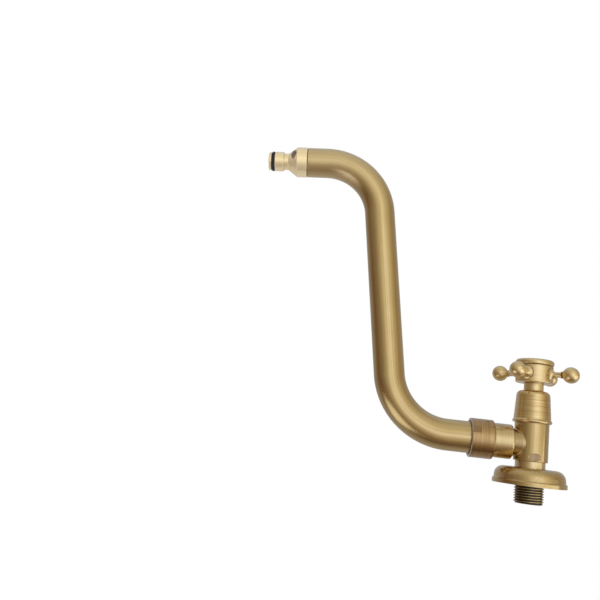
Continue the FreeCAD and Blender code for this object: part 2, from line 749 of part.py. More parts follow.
def handle_arm(i):
    """One ball-ended arm: stud, trumpet foot, neck, fine ring and teardrop ball."""
    base = arm_seat_plane() + seat_gap
    flare_start = base + arm_foot_height
    neck_start = flare_start + arm_flare_height
    ring_start = neck_start + arm_neck_length
    ball_start = ring_start + arm_ring_height
    # the teardrop's cone leaves the ring at the neck's radius and meets the ball at a tangent
    reach = arm_ball_radius + arm_ball_gap
    ball_centre = ball_start + reach
    slant = math.hypot(reach, arm_neck_radius)
    lean = math.asin(arm_ball_radius / slant) - math.asin(arm_neck_radius / slant)
    tangent_station = ball_centre - arm_ball_radius * math.sin(lean)
    tangent_radius = arm_ball_radius * math.cos(lean)
    origin = along(WALL_ORIGIN, OUT, arm_out)
    direction = arm_direction(i)

    def spot(radius, station):
        return along(origin, direction, station, OUT, radius)

    straights = [
        spot(arm_neck_radius, neck_start),
        spot(arm_neck_radius, ring_start),
        spot(arm_ring_radius, ring_start),
        spot(arm_ring_radius, ball_start),
        spot(arm_neck_radius, ball_start),
        spot(tangent_radius, tangent_station)]
    foot = [
        spot(0, base - arm_stud_length),
        spot(arm_stud_radius, base - arm_stud_length),
        spot(arm_stud_radius, base),
        spot(arm_foot_radius, base),
        spot(arm_foot_radius, flare_start)]
    waist = arm_neck_radius + (arm_foot_radius - arm_neck_radius) * arm_flare_hollow
    hollow = spot(waist, flare_start + arm_flare_height / 3)
    crown_angle = (lean + math.pi / 2) / 2
    crown = spot(arm_ball_radius * math.sin(crown_angle),
                 ball_centre + arm_ball_radius * math.cos(crown_angle))
    pole = spot(0, ball_centre + arm_ball_radius)
    edges = [Part.LineSegment(a, b).toShape() for a, b in zip(foot[:-1], foot[1:])]
    edges.append(Part.Arc(foot[-1], hollow, straights[0]).toShape())
    edges += [Part.LineSegment(a, b).toShape() for a, b in zip(straights[:-1], straights[1:])]
    edges.append(Part.Arc(straights[-1], crown, pole).toShape())
    edges.append(Part.LineSegment(pole, foot[0]).toShape())
    face = Part.Face(Part.Wire(edges))
    return outward(face.revolve(origin, direction, 360))


def index_cap():
    """Plain domed cap pressed into the hub's recess."""
    floor = hub_top_out - cap_recess_depth
    plate = floor + cap_plate_above_floor
    top = hub_top_out - cap_below_rim
    return turned([
        (0, plate),
        (cap_radius - cap_skirt_wall, plate),
        (cap_radius - cap_skirt_wall, floor + seat_gap),
        (cap_radius, floor + seat_gap),
        (cap_radius, top, small_edge),
        (cap_crown_radius, top + cap_dome, cap_crown_rounding),
        (0, top + cap_dome)], WALL_ORIGIN, OUT)


def handle_screw():
    """Slotted screw that pulls the hub down on the spindle."""
    head_foot = hub_web_top_out + seat_gap
    head_top = head_foot + screw_head_height
    screw = turned([
        (0, screw_tip_out),
        (screw_radius - small_edge, screw_tip_out),
        (screw_radius, screw_tip_out + small_edge),
        (screw_radius, head_foot),
        (screw_head_radius, head_foot),
        (screw_head_radius, head_top, screw_head_rounding),
        (0, head_top)], WALL_ORIGIN, OUT)
    slot = Part.makeBox(2 * (screw_head_radius + poke), screw_slot_depth + poke, screw_slot_width)
    slot.translate(Vector(-screw_head_radius - poke, -head_top - poke, -screw_slot_width / 2))
    return outward(screw.cut(slot))


def union_nut():
    """Nut that holds the spout's flange against the outlet, with two milled flats."""
    nut = turned([
        (nut_thread_radius, nut_start_down),
        (nut_radius, nut_start_down, nut_edge),
        (nut_radius, nut_end_down, nut_edge),
        (nut_hole_radius + nut_end_chamfer, nut_end_down),
        (nut_hole_radius, nut_end_down - nut_end_chamfer),
        (nut_hole_radius, nut_shoulder_down),
        (nut_thread_radius, nut_shoulder_down)], OUTLET_ORIGIN, DOWN)
    plane = math.sqrt(nut_radius ** 2 - (nut_flat_height / 2) ** 2)
    for i in range(2):
        cutter = Part.makeBox(nut_radius, nut_flat_height, nut_flat_length + poke)
        cutter.translate(Vector(plane, -nut_flat_height / 2, -nut_end_down - poke))
        cutter.rotate(WALL_ORIGIN, Vector(0, 0, 1), -nut_flat_angle + 180 * i)
        cutter.translate(OUTLET_ORIGIN)
        nut = nut.cut(cutter)
    return outward(nut)


def outlet_slip_washer():
    """Flat washer between the outlet's end face and the sleeve's flange."""
    return ring(OUTLET_ORIGIN, DOWN, outlet_socket_radius + free_gap, branch_spigot_radius - 2 * free_gap,
                washer_start_down, washer_start_down + outlet_washer_thick)


def nut_slip_ring():
    """Slip ring between the sleeve's flange and the nut's shoulder."""
    return ring(OUTLET_ORIGIN, DOWN, nut_hole_radius, nut_thread_radius - seat_gap,
                slip_ring_start_down, slip_ring_end_down)


def spout_seal_stations():
    """Where the sleeve's two O-rings sit in the outlet's socket."""
    middle = (socket_start_down + sleeve_end_clear + flange_start_down) / 2
    return middle - spout_o_ring_spacing / 2, middle + spout_o_ring_spacing / 2


def spout_end_sleeve():
    """Turned sleeve brazed in the tube's end: spigot with two seal grooves, and a flange."""
    spigot_radius = outlet_socket_radius - running_gap
    groove_radius = spigot_radius - spout_o_ring_section
    half = spout_o_ring_section / 2 + seat_gap
    first_seal, second_seal = spout_seal_stations()
    start = socket_start_down + sleeve_end_clear
    plug_radius = tube_bore_radius - seat_gap
    return turned([
        (sleeve_bore_radius, start),
        (spigot_radius, start, sleeve_edge),
        (spigot_radius, first_seal - half),
        (groove_radius, first_seal - half),
        (groove_radius, first_seal + half),
        (spigot_radius, first_seal + half),
        (spigot_radius, second_seal - half),
        (groove_radius, second_seal - half),
        (groove_radius, second_seal + half),
        (spigot_radius, second_seal + half),
        (spigot_radius, flange_start_down),
        (sleeve_flange_radius, flange_start_down),
        (sleeve_flange_radius, flange_end_down),
        (plug_radius, flange_end_down),
        (plug_radius, flange_end_down + sleeve_in_tube),
        (sleeve_bore_radius, flange_end_down + sleeve_in_tube)], OUTLET_ORIGIN, DOWN)


def spout_o_rings():
    """The two O-rings on which the spout swivels, in one node."""
    inner = outlet_socket_radius - running_gap - spout_o_ring_section + seat_gap
    section = spout_o_ring_section - 2 * seat_gap
    rings = [o_ring(OUTLET_ORIGIN, DOWN, station, inner, section) for station in spout_seal_stations()]
    return Part.makeCompound(rings)


def spout_runs(radius):
    """Straight legs and bends of the spout's run at one radius, and where it ends and points."""
    here = along(OUTLET_ORIGIN, DOWN, flange_end_down)
    heading = DOWN
    pieces = []
    legs = (first_leg_end - flange_end_down, middle_leg_length, last_leg_length)
    bends = ((first_bend_radius, first_bend_angle, RIGHT * -1),
             (second_bend_radius, second_bend_angle, RIGHT))
    for i, length in enumerate(legs):
        disc = Part.Face(Part.Wire(Part.Circle(here, heading, radius).toShape()))
        pieces.append(disc.extrude(heading * length))
        here = here + heading * length
        if i < len(bends):
            bend_radius, angle, pivot = bends[i]
            centre = here + pivot.cross(heading) * bend_radius
            disc = Part.Face(Part.Wire(Part.Circle(here, heading, radius).toShape()))
            pieces.append(disc.revolve(centre, pivot, angle))
            turn = FreeCAD.Rotation(pivot, angle)
            here = centre + turn.multVec(here - centre)
            heading = turn.multVec(heading)
    return pieces, here, heading


tube_end, nozzle_axis = spout_runs(tube_radius)[1:]


def spout_tube():
    """S-shaped tube: three straight legs joined by two bends."""
    outside = spout_runs(tube_radius)[0]
    inside = spout_runs(tube_bore_radius)[0]
    tube = None
    for outer, inner in zip(outside, inside):
        stretch = outer.cut(inner)
        tube = stretch if tube is None else tube.fuse(stretch)
    return outward(tube.removeSplitter())


def nozzle_bush():
    """Threaded bush brazed flush in the tube's free end."""
    return ring(tube_end, nozzle_axis, bush_thread_radius, tube_bore_radius - seat_gap, -bush_length, 0)


def nozzle_washer():
    """Flat washer between the tube's end and the nozzle's collar."""
    return ring(tube_end, nozzle_axis, bush_thread_radius + seat_gap, nozzle_washer_radius,
                seat_gap, nozzle_washer_thick - seat_gap)


def nozzle_stations():
    """Distances past the tube's end of the nozzle's collar, cone, groove, flange, seal, tip and nose."""
    collar = nozzle_washer_thick
    cone = collar + nozzle_collar_length
    groove = cone + nozzle_cone_length
    flange = groove + nozzle_groove_length
    seal = flange + nozzle_flange_length
    tip = seal + nozzle_seal_groove_length
    return collar, cone, groove, flange, seal, tip, tip + nozzle_tip_length


def hose_nozzle():
    """Quick-connect hose nozzle with a screwed stub and two milled spanner pockets in its cone."""
    collar, cone, groove, flange, seal, tip, nose = nozzle_stations()
    seal_floor = nozzle_o_ring_radius - nozzle_o_ring_section
    nozzle = turned([
        (nozzle_bore_radius, -nozzle_stub_length),
        (bush_thread_radius - seat_gap, -nozzle_stub_length, small_edge),
        (bush_thread_radius - seat_gap, collar),
        (nozzle_collar_radius, collar, small_edge),
        (nozzle_collar_radius, cone, fine_edge),
        (nozzle_groove_radius, groove, nozzle_groove_rounding),
        (nozzle_groove_radius, flange),
        (nozzle_flange_radius - nozzle_flange_edge, flange),
        (nozzle_flange_radius, flange + nozzle_flange_edge),
        (nozzle_flange_radius, seal, fine_edge),
        (seal_floor, seal),
        (seal_floor, tip),
        (nozzle_tip_radius, tip, fine_edge),
        (nozzle_tip_radius, nose, nozzle_tip_edge),
        (nozzle_bore_radius, nose)], tube_end, nozzle_axis)
    front = nozzle_axis.cross(RIGHT)
    for i in range(2):
        angle = math.radians(nozzle_pocket_angle + 180 * i)
        direction = RIGHT * math.cos(angle) + front * math.sin(angle)
        middle = along(tube_end, nozzle_axis, cone + nozzle_pocket_from_collar + nozzle_pocket_radius)
        pocket = rod(middle, direction, nozzle_pocket_radius,
                     nozzle_pocket_floor, nozzle_collar_radius + poke)
        nozzle = nozzle.cut(pocket)
    return outward(nozzle)


def nozzle_o_ring():
    """Black O-ring near the nozzle's tip."""
    seal, tip = nozzle_stations()[4:6]
    inner = nozzle_o_ring_radius - nozzle_o_ring_section + seat_gap
    section = nozzle_o_ring_section - seat_gap
    return o_ring(tube_end, nozzle_axis, (seal + tip) / 2, inner, section)


def wall_rosette():
    """Pressed dome that covers the hole in the wall, with four nibs in its hole."""
    step_top = rosette_rim_height + rosette_step_height
    dome_radius = rosette_radius - rosette_step
    inner_top = rosette_height - rosette_wall
    dome = turned([
        (rosette_radius - rosette_wall, 0),
        (rosette_radius, 0),
        (rosette_radius, rosette_rim_height, rosette_rim_rounding),
        (dome_radius, step_top, rosette_step_rounding),
        (dome_radius - rosette_draft, rosette_height, rosette_shoulder),
        (rosette_hole_radius, rosette_height),
        (rosette_hole_radius, inner_top),
        (dome_radius - rosette_draft - rosette_wall, inner_top, rosette_shoulder - rosette_wall),
        (dome_radius - rosette_wall, step_top),
        (rosette_radius - rosette_wall, rosette_rim_height - rosette_wall)], WALL_ORIGIN, OUT)
    nib_width = 2 * math.sqrt((rosette_hole_radius + seat_gap) ** 2 - rosette_nib_chord ** 2)
    for i in range(rosette_nib_count):
        nib = Part.makeBox(poke, rosette_wall, nib_width)
        nib.translate(Vector(rosette_nib_chord, -rosette_height, -nib_width / 2))
        nib.rotate(WALL_ORIGIN, OUT, rosette_nib_angle + i * 360 / rosette_nib_count)
        dome = dome.fuse(nib)
    return outward(dome)


write(tap_body(), "tap_body")
write(bonnet_cover(), "bonnet_cover")
write(cartridge_body(), "cartridge_body")
write(cartridge_body_seal(), "cartridge_body_seal")
write(seat_seal(), "seat_seal")
write(fixed_ceramic_disc(), "fixed_ceramic_disc")
write(moving_ceramic_disc(), "moving_ceramic_disc")
write(spindle(), "spindle")
write(spindle_o_rings(), "spindle_o_rings")
write(spindle_slip_washer(), "spindle_slip_washer")
write(spindle_clip(), "spindle_clip")
write(handle_hub(), "handle_hub")
for number in range(arm_count):
    write(handle_arm(number), "handle_arm_" + str(number + 1))
write(index_cap(), "index_cap")
write(handle_screw(), "handle_screw")
write(union_nut(), "union_nut")
write(outlet_slip_washer(), "outlet_slip_washer")
write(nut_slip_ring(), "nut_slip_ring")
write(spout_end_sleeve(), "spout_end_sleeve")
write(spout_o_rings(), "spout_o_rings")
write(spout_tube(), "spout_tube")
write(nozzle_bush(), "nozzle_bush")
write(nozzle_washer(), "nozzle_washer")
write(hose_nozzle(), "hose_nozzle")
write(nozzle_o_ring(), "nozzle_o_ring")
write(wall_rosette(), "wall_rosette")
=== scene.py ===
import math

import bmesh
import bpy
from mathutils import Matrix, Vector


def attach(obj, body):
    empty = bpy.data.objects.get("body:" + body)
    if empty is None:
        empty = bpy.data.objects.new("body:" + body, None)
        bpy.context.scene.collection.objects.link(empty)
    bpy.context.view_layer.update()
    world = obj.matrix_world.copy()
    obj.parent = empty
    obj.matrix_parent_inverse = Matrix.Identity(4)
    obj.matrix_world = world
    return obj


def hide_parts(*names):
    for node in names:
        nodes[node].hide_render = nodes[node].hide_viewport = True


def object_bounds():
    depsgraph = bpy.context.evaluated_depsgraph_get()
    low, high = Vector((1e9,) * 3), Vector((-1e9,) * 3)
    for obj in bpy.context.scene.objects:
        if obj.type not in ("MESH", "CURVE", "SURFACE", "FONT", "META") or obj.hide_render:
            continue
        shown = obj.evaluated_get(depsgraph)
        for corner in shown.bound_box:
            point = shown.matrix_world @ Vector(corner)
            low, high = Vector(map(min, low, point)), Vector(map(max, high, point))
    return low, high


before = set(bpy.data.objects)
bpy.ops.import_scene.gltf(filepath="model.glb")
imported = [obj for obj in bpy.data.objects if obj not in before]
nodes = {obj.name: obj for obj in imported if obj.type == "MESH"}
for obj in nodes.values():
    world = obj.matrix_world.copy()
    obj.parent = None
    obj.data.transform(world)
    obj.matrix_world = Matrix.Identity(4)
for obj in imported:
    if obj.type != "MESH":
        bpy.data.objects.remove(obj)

# %% [markdown]
# # A wall-mounted cold water tap in antique brushed brass
#
# The packed model gives every hard piece at its real size, so this lesson is mostly about finish:
# how brushing, patina and polish change the way brass takes the light. The long spout is modelled
# again here, because its brush marks have to run round its bends, and that needs a record of how
# far along the tube each point lies.
#
# Sizes are in metres. The tap stands out from the wall along -Y and its outlet points down.

cad_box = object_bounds()
MM = 0.001
print("the packed model spans", [[round(c, 4) for c in corner] for corner in cad_box])

# %% [markdown]
# ## Camera
#
# The photograph was taken from above, with the tap lying on its side. A camera can be placed by
# eye, or worked out from known sizes in the picture. Here the standard pipe thread and the outlines
# of the round tube fixed it, so a point of the model lands where it is in the picture.

# %% Camera at the photograph's place
image_width = 600
focal_pixels = 688.81
camera_place = Vector((521.07, -20.45, -141.45)) * MM
looks_along = Vector((-0.9802, -0.1845, -0.0719)).normalized()
picture_up = Vector((0.191, -0.9766, -0.0991))

to_right = looks_along.cross(picture_up).normalized()
to_top = to_right.cross(looks_along)
turn = Matrix((to_right, to_top, -looks_along)).transposed()
camera_data = bpy.data.cameras.new("camera")
camera_data.sensor_width = 36
camera_data.lens = focal_pixels / image_width * camera_data.sensor_width
camera_data.clip_start = 10 * MM
camera = bpy.data.objects.new("camera", camera_data)
camera.matrix_world = Matrix.Translation(camera_place) @ turn.to_4x4()
bpy.context.scene.collection.objects.link(camera)
bpy.context.scene.camera = camera
print("the camera's lens is", round(camera_data.lens, 2), "mm")

# %% [markdown]
# ## Shader maths
#
# A material is a graph of nodes, and sums written node by node are hard to read. One small class
# wraps a socket and overloads the operators, so `1 - mask` adds its own Math node, and one method
# makes every other kind of node from its settings and its inputs.


# %% A socket that can be used in a sum
class Socket:
    """One output of a node, as a number that sums can be written with."""

    def __init__(self, owner, socket):
        self.owner = owner
        self.socket = socket

    def maths(self, operation, first, second=0.0):
        return self.owner.node("ShaderNodeMath", {"operation": operation}, {0: first, 1: second})

    def __add__(self, other):
        return self.maths("ADD", self, other)

    __radd__ = __add__

    def __sub__(self, other):
        return self.maths("SUBTRACT", self, other)

    def __rsub__(self, other):
        return self.maths("SUBTRACT", other, self)

    def __mul__(self, other):
        return self.maths("MULTIPLY", self, other)

    __rmul__ = __mul__

    def __truediv__(self, other):
        return self.maths("DIVIDE", self, other)

    def __rtruediv__(self, other):
        return self.maths("DIVIDE", other, self)

    def power(self, exponent):
        return self.maths("POWER", self, exponent)

    def greatest(self, other):
        return self.maths("MAXIMUM", self, other)

    def size(self):
        return self.maths("ABSOLUTE", self)

    def ramp(self, low, high):
        """0 below low, 1 above high, and smooth between them."""
        settings = {"interpolation_type": "SMOOTHSTEP", "clamp": True}
        return self.owner.node("ShaderNodeMapRange", settings, {0: self, 1: low, 2: high})

    def beyond(self, edge, fade):
        """0 before an edge and 1 after it, fading over a little on both sides."""
        return self.ramp(edge - fade, edge + fade)


print("besides sums, a socket knows", [name for name in vars(Socket) if name[0] != "_"])


# %% A tree of nodes, for a material or for the world
class Tree:
    """A tree of nodes under construction, with the steps that a material and the world share."""

    def __init__(self, tree):
        self.tree = tree
        self.tree.nodes.clear()

    def node(self, kind, settings=None, inputs=None, output=0):
        """Adds a node: its settings first, then the values or links of its sockets."""
        made = self.tree.nodes.new(kind)
        for name, value in (settings or {}).items():
            setattr(made, name, value)
        for name, value in (inputs or {}).items():
            if isinstance(value, Socket):
                self.tree.links.new(value.socket, made.inputs[name])
            else:
                made.inputs[name].default_value = value
        return Socket(self, made.outputs[output]) if made.outputs else None

    def reach(self, vector, direction):
        """How far a vector reaches along a direction of length 1."""
        return self.node("ShaderNodeVectorMath", {"operation": "DOT_PRODUCT"},
                         {0: vector, 1: tuple(direction)}, output="Value")

    def ray_is(self, kind):
        """1 for one kind of ray, such as those that come from the camera."""
        return self.node("ShaderNodeLightPath", output=f"Is {kind} Ray")

    def add(self, first, second):
        """The light of two finished shaders together."""
        return self.node("ShaderNodeAddShader", None, {0: first, 1: second})

    def fade(self, factor, first, second):
        """One finished shader fading into another."""
        return self.node("ShaderNodeMixShader", None, {0: factor, 1: first, 2: second})


print("a tree knows", [name for name in vars(Tree) if name[0] != "_"])


# %% A material's tree
class Shader(Tree):
    """A material under construction, with one method for each kind of step of a finish."""

    def __init__(self, name):
        self.material = bpy.data.materials.new(name)
        self.material.use_nodes = True
        super().__init__(self.material.node_tree)

    def place(self):
        """Where a point is on the object, in metres."""
        return self.node("ShaderNodeTexCoord", output="Object")

    def scaled(self, vector, scale):
        return self.node("ShaderNodeMapping", None, {"Vector": vector, "Scale": scale})

    def parts(self, vector):
        """The three numbers of a vector."""
        outputs = self.node("ShaderNodeSeparateXYZ", None, {0: vector}).socket.node.outputs
        return [Socket(self, outputs[i]) for i in range(3)]

    def noise(self, vector, scale=1.0, detail=2.0, roughness=0.5):
        return self.node("ShaderNodeTexNoise", None, {
            "Vector": vector, "Scale": scale, "Detail": detail, "Roughness": roughness})

    def open_air(self, distance):
        """1 in the open, less where another surface is nearer than the distance."""
        return self.node("ShaderNodeAmbientOcclusion", {"samples": 8},
                         {"Distance": distance}, output="AO")

    def mix(self, factor, first, second):
        """One colour fading into another."""
        settings = {"data_type": "RGBA"}
        return self.node("ShaderNodeMix", settings, {0: factor, 6: first, 7: second}, output=2)

    def change(self, factor, first, second):
        """One vector fading into another."""
        settings = {"data_type": "VECTOR"}
        return self.node("ShaderNodeMix", settings, {0: factor, 4: first, 5: second}, output=1)

    def bump(self, height, distance):
        return self.node("ShaderNodeBump", None, {"Height": height, "Distance": distance})

    def finish(self, shader):
        self.node("ShaderNodeOutputMaterial", None, {"Surface": shader})
        return self.material


print("a material's tree knows", [name for name in vars(Shader) if name[0] != "_"], "too")


# %% Colours as they read on a screen
def rgb(red, green, blue):
    """A solid colour, 0 to 255 as it reads on a screen, turned into light."""
    def light(value):
        value = value / 255
        return value / 12.92 if value <= 0.04045 else ((value + 0.055) / 1.055) ** 2.4
    return light(red), light(green), light(blue), 1


print("a grey of 128 gives back", round(rgb(128, 128, 128)[0], 2), "of the light")

# %% [markdown]
# ## The room that the metal mirrors
#
# Polished metal has little colour of its own and shows its surroundings, so the surroundings are
# the most important part of its look. On this tap every round piece shows one broad cream band
# where a large pale ceiling is mirrored, and falls to deep brown on the side that faces the dark
# end of the studio. The walls could be modelled round the tap. Here soft patches of light are added
# up in the world instead, each brightest in its own direction, because each one can then be matched
# to one side of the tap. The camera sees plain white.

# %% The world's tree
world = bpy.data.worlds.new("studio")
world.use_nodes = True
bpy.context.scene.world = world
room = Tree(world.node_tree)
heading = room.node("ShaderNodeTexCoord", output="Generated")


def towards(direction):
    """How far a ray's heading agrees with a direction, from -1 to 1."""
    return room.reach(heading, direction.normalized())


def background(colour, strength=1.0):
    return room.node("ShaderNodeBackground", None, {"Color": (*colour, 1), "Strength": strength})


print("the world is", world.name)

# %% Patches of light: a direction, how sharply it stands out, and a colour
overhead = -looks_along
patches = (
    (to_top + overhead * 0.38, 1.3, (0.44, 0.47, 0.45)),
    (to_right + overhead * 0.3, 4.0, (0.15, 0.14, 0.08)),
    (overhead + to_right * 0.26 + to_top * 0.15, 5.0, (0.72, 0.72, 0.62)),
    (to_right * 0.11 - to_top * 0.4 - overhead * 0.91, 0.7, (0.28, 0.33, 0.38)),
    (to_top - overhead * 0.8, 3.0, (0.07, 0.12, 0.22)),
)
mirrored = background((0.17, 0.10, 0.055))
for direction, sharpness, colour in patches:
    patch = background(colour, towards(direction).greatest(0).power(sharpness))
    mirrored = room.add(mirrored, patch)
print(len(patches), "patches of light in a brown room")

# %% A dark slot low in the room, which draws the thin dark line along the polished nozzle
slot_slope = 0.466
slot_inner, slot_outer = 0.05, 0.13
slot_share = 0.75
below = towards(-to_top)
beside_slot = (towards(overhead) / below - slot_slope).size().ramp(slot_inner, slot_outer)
low_enough = below.ramp(0.0, 0.1)  # the same slope lies above too, where there is no slot
slot = (1 - beside_slot) * low_enough * slot_share
mirrored = room.fade(slot, mirrored, background((0.02, 0.015, 0.01)))
print("the slot lies", round(90 - math.degrees(math.atan(slot_slope))), "degrees below the camera")

# %% White for the camera, even light for dull surfaces, the room for metal
even_strength = 1.1
white = background((1, 1, 1))
even = background((1, 1, 1), even_strength)
lit = room.fade(room.ray_is("Glossy").greatest(room.ray_is("Transmission")), even, mirrored)
room.node("ShaderNodeOutputWorld", None, {"Surface": room.fade(room.ray_is("Camera"), lit, white)})
print(len(room.tree.nodes), "nodes in the world's tree")

# %% [markdown]
# ## Soft lamps
#
# A studio has large soft lamps beside its pale walls, and metal shows them as bright shapes with an
# edge, which the smooth world lacks. Panels that glow could stand for them, but area lamps give
# less noise. One overhead is faint and blue and cools the middle of the cream band. One low on the
# left draws the pale crescents on the outsides of the bends, and one low on the right lights the
# far side. A lamp's power is tied to its area, so its colour alone says how bright it looks.

# %% Three lamps round the middle of the object
lamp_distance = 1.2
object_middle = (Vector(cad_box[0]) + Vector(cad_box[1])) / 2


def seen_at(right, up):
    """The direction that lies so many degrees right of the camera and above it, from the tap."""
    right = math.radians(right)
    up = math.radians(up)
    level = overhead * math.cos(right) + to_right * math.sin(right)
    return (level * math.cos(up) + to_top * math.sin(up)).normalized()


def soft_lamp(name, facing, width, height, colour):
    """A rectangular lamp that faces the middle of the object."""
    data = bpy.data.lights.new(name, "AREA")
    data.shape = "RECTANGLE"
    data.size = width
    data.size_y = height
    data.energy = math.pi * width * height
    data.color = colour
    lamp = bpy.data.objects.new(name, data)
    sideways = to_top.cross(facing).normalized()
    turned = Matrix((sideways, facing.cross(sideways), facing)).transposed().to_4x4()
    lamp.matrix_world = Matrix.Translation(object_middle + facing * lamp_distance) @ turned
    lamp.visible_camera = False
    bpy.context.scene.collection.objects.link(lamp)
    print(name, "has", round(data.energy, 2), "W")


soft_lamp("ceiling_lamp", seen_at(13, 8), 0.75, 1.1, (0.02, 0.08, 0.32))
soft_lamp("left_lamp", seen_at(-62, -35), 0.9, 0.65, (0.92, 0.94, 1.0))
soft_lamp("right_lamp", seen_at(54, -23), 1.1, 0.8, (0.86, 0.92, 1.0))

# %% [markdown]
# ## Floor
#
# The studio's floor is plain and pale. It could touch the tap, but a tap hangs on a wall, so the
# floor lies well below it. White paper would throw more light up at the metal, so this one is a
# light grey, and a glow that only the camera sees makes it white in the picture. Mirrored rays pass
# through the floor, because the metal is meant to mirror the room's own patch of light from below.

# %% The floor's shape
floor_half_width = 4.0
floor_height = cad_box[0][2] - 0.8
floor_shape = bmesh.new()
bmesh.ops.create_grid(floor_shape, x_segments=1, y_segments=1, size=floor_half_width)
bmesh.ops.translate(floor_shape, verts=floor_shape.verts, vec=(0, 0, floor_height))
floor_mesh = bpy.data.meshes.new("floor")
floor_shape.to_mesh(floor_mesh)
floor_shape.free()
floor = bpy.data.objects.new("floor", floor_mesh)
bpy.context.scene.collection.objects.link(floor)
print("the floor lies at", round(floor_height, 3), "m")

# %% The floor's white
paper_glow = 0.75
paper = Shader("pale_floor")
grey = paper.node("ShaderNodeBsdfDiffuse", None, {"Color": (0.7, 0.7, 0.7, 1)})
glow = paper.node("ShaderNodeEmission", None, {
    "Color": (1, 1, 1, 1), "Strength": paper.ray_is("Camera") * paper_glow})
room_below = paper.node("ShaderNodeBsdfTransparent")
floor_mesh.materials.append(paper.finish(
    paper.fade(paper.ray_is("Glossy"), paper.add(grey, glow), room_below)))
print(len(paper.tree.nodes), "nodes in", paper.material.name)

# %% [markdown]
# ## Brushed antique brass
#
# The real finish is made in three steps: the brass is darkened with a chemical, rubbed back with an
# abrasive belt so that the high places show the metal again, and sealed with clear lacquer. A
# photograph of such metal could be wrapped round the model, but a procedure keeps its scale on
# every piece: fine streaks along the brushing, a slow drift between brown patina and gold, dark
# joints that are partly patina, where the belt doesn't reach, and partly painted shade, wherever
# another surface lies close, and a thin clear coat.

# %% Shades of brass: rubbed bright, less rubbed, and the patina that is left
patina = rgb(92, 66, 34)
aged_brass = (rgb(216, 190, 126), rgb(192, 162, 96), patina)
bright_brass = (rgb(244, 220, 160), rgb(226, 198, 134), patina)
brown_brass = (rgb(196, 160, 96), rgb(166, 128, 68), rgb(84, 56, 26))
bonnet_brass = (rgb(236, 210, 146), rgb(208, 174, 106), rgb(84, 54, 26))
print("gold gives back", round(aged_brass[0][0], 2), "of red light, patina", round(patina[0], 2))

# %% Streaks, drift, and dark joints of patina and painted shade
fine_share = 0.45  # of the streaks, and the rest are broad ones
broad_scale = (0.22, 0.22, 0.22)
cloud_scale = 38.0
drift_contrast = 0.5
gold_below, aged_above = 0.2, 0.95
oldest_from, oldest_to = 0.75, 1.25  # age ends at 1, so patina never hides the gold altogether
patina_share, joint_patina_and_shade_share = 0.6, 0.85
joint_patina_and_shade_reach = 1.8 * MM
closed_below, open_above = 0.35, 0.9
rubbed_roughness, aged_adds, joint_adds = 0.17, 0.14, 0.1


def brushed_brass(shader, streak_place, cloud_place, shades, contrast=1.8, groove=0.035 * MM):
    """Streaks that read streak_place, clouds of patina that read cloud_place."""
    light, middle, dark = shades
    fine = shader.noise(streak_place, detail=1.0)
    broad = shader.noise(shader.scaled(streak_place, broad_scale))
    cloud = shader.noise(cloud_place, scale=cloud_scale, detail=3.0, roughness=0.55)
    streaks = fine * fine_share + broad * (1 - fine_share)
    age = (streaks - 0.5) * contrast + (cloud - 0.5) * drift_contrast + 0.5
    age = age.ramp(gold_below, aged_above)
    left_dark = age.ramp(oldest_from, oldest_to) * patina_share
    # the joints' dark is partly patina left in hollows and partly painted shade wherever another
    # surface lies close
    joint_patina_and_shade = 1 - shader.open_air(joint_patina_and_shade_reach).ramp(closed_below, open_above)
    colour = shader.mix(age, light, middle)
    colour = shader.mix(left_dark.greatest(joint_patina_and_shade * joint_patina_and_shade_share), colour, dark)
    roughness = rubbed_roughness + aged_adds * age + joint_adds * joint_patina_and_shade
    return colour, roughness, shader.bump(fine, groove)


print("joints are dark within", round(joint_patina_and_shade_reach / MM, 1), "mm of another surface")

# %% Clear lacquer over the metal
lacquer_share, lacquer_roughness, lacquer_ior = 0.8, 0.22, 1.8


def lacquered(shader, colour, roughness, normal):
    return shader.finish(shader.node("ShaderNodeBsdfPrincipled", None, {
        "Base Color": colour, "Metallic": 1.0, "Roughness": roughness, "Normal": normal,
        "Coat Weight": lacquer_share, "Coat Roughness": lacquer_roughness,
        "Coat IOR": lacquer_ior}))


def brushed(name, streak_scale, shades, contrast=1.8, softer=0.0):
    """Brushed brass whose streaks follow the axis that has the smallest scale."""
    shader = Shader(name)
    place = shader.place()
    colour, roughness, normal = brushed_brass(
        shader, shader.scaled(place, streak_scale), place, shades, contrast)
    return lacquered(shader, colour, roughness + softer, normal)


print("the lacquer covers", round(lacquer_share * 100), "% of the metal")

# %% [markdown]
# ## Which way each piece is brushed
#
# A piece that is brushed on a lathe has its streaks round its axis, so the noise changes fast along
# that axis and slowly across it. A picture of streaks could be turned to fit instead, but a scale
# for each axis does it in one node. The bonnet and the handle are brushed so. The rosette is
# brushed straight across, and its streaks are the faintest. The handle is rubbed the brightest and
# its shine is the softest, and the bonnet's shine is the sharpest.

# %% Bonnet, handle and rosette
across = 3400
along = 55
round_y = (along, across, along)
along_y = (across, along, across)
round_z = (along, along, across)
round_handle = (along * 4, across, along * 4)
across_rosette = (along * 3, across, across)
bonnet_finish = brushed("brass_bonnet", round_y, bonnet_brass, contrast=2.1, softer=-0.07)
handle_finish = brushed("brass_handle", round_handle, bright_brass, softer=0.1)
rosette_finish = brushed("brass_brushed_across", across_rosette, aged_brass, contrast=1.5)
print("streaks are about", round(1 / across / MM, 2), "mm wide,", round(1 / along / MM), "mm long")

